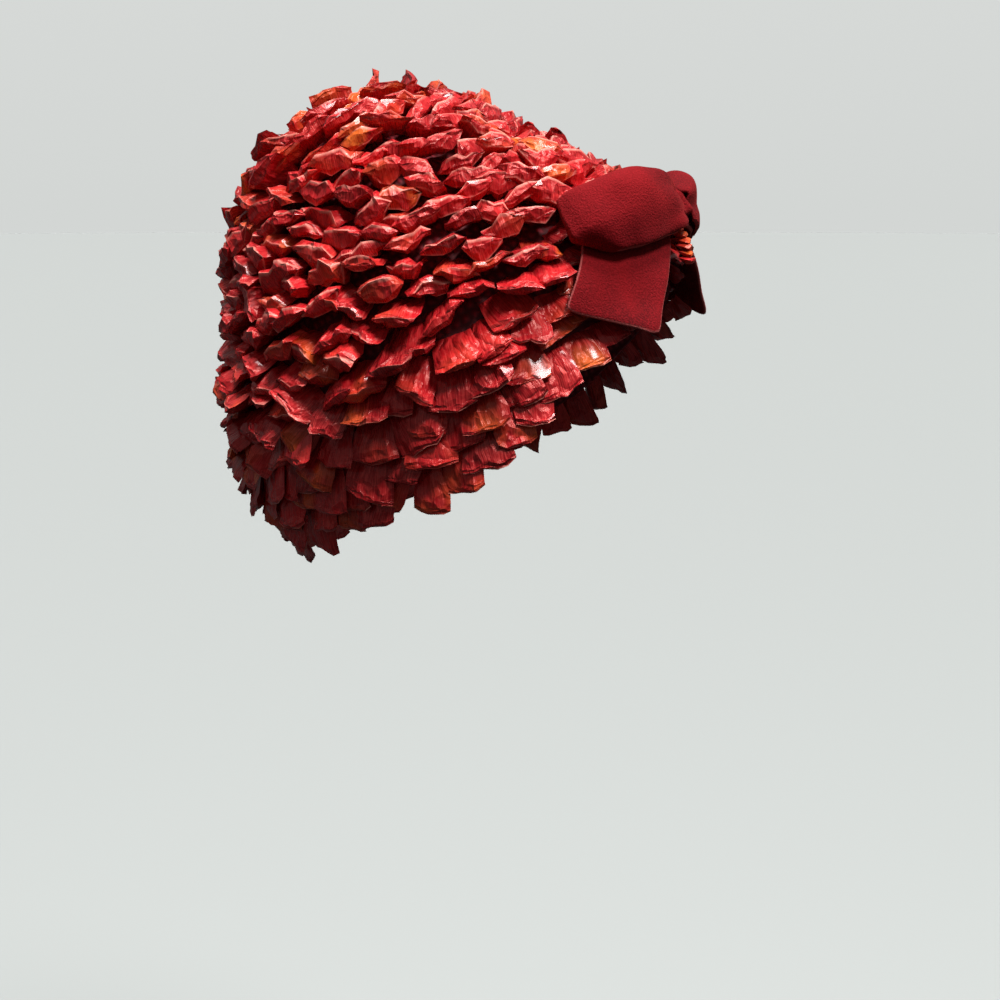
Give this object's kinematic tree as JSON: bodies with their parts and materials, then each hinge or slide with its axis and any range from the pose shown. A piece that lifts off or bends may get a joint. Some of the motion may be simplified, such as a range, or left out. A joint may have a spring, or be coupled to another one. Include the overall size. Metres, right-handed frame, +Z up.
{
  "type": "ruffled raffia cap with velvet bow",
  "caption": "Close, tall cap covered in rows of folded raffia ribbon loops, with a velvet bow of two puffed loops and two square-cut tails over the forehead.",
  "frame": {"origin": "inside top of the crown on the cap's own axis, where the cap sits on the head", "axes": "+Z up as the cap is worn, +X towards the forehead, +Y to the wearer's left"},
  "size_m": [0.1885, 0.1783, 0.1892],
  "materials": {
    "straw_cloth": "matte",
    "raffia": "gloss",
    "velvet": "matte"
  },
  "bodies": {
    "root": {"cap_foundation": "straw_cloth", "raffia_row_01": "raffia", "raffia_row_02": "raffia", "raffia_row_03": "raffia", "raffia_row_04": "raffia", "raffia_row_05": "raffia", "raffia_row_06": "raffia", "raffia_row_07": "raffia", "raffia_row_08": "raffia", "raffia_row_09": "raffia", "raffia_row_10": "raffia", "raffia_row_11": "raffia", "raffia_row_12": "raffia", "raffia_row_13": "raffia", "raffia_row_14": "raffia", "raffia_row_15": "raffia", "raffia_row_16": "raffia", "raffia_row_17": "raffia", "crown_rosette": "raffia", "bow_loop_right": "velvet", "bow_loop_left": "velvet", "bow_tail_right": "velvet", "bow_tail_left": "velvet", "bow_knot": "velvet"}
  },
  "joints": []
}
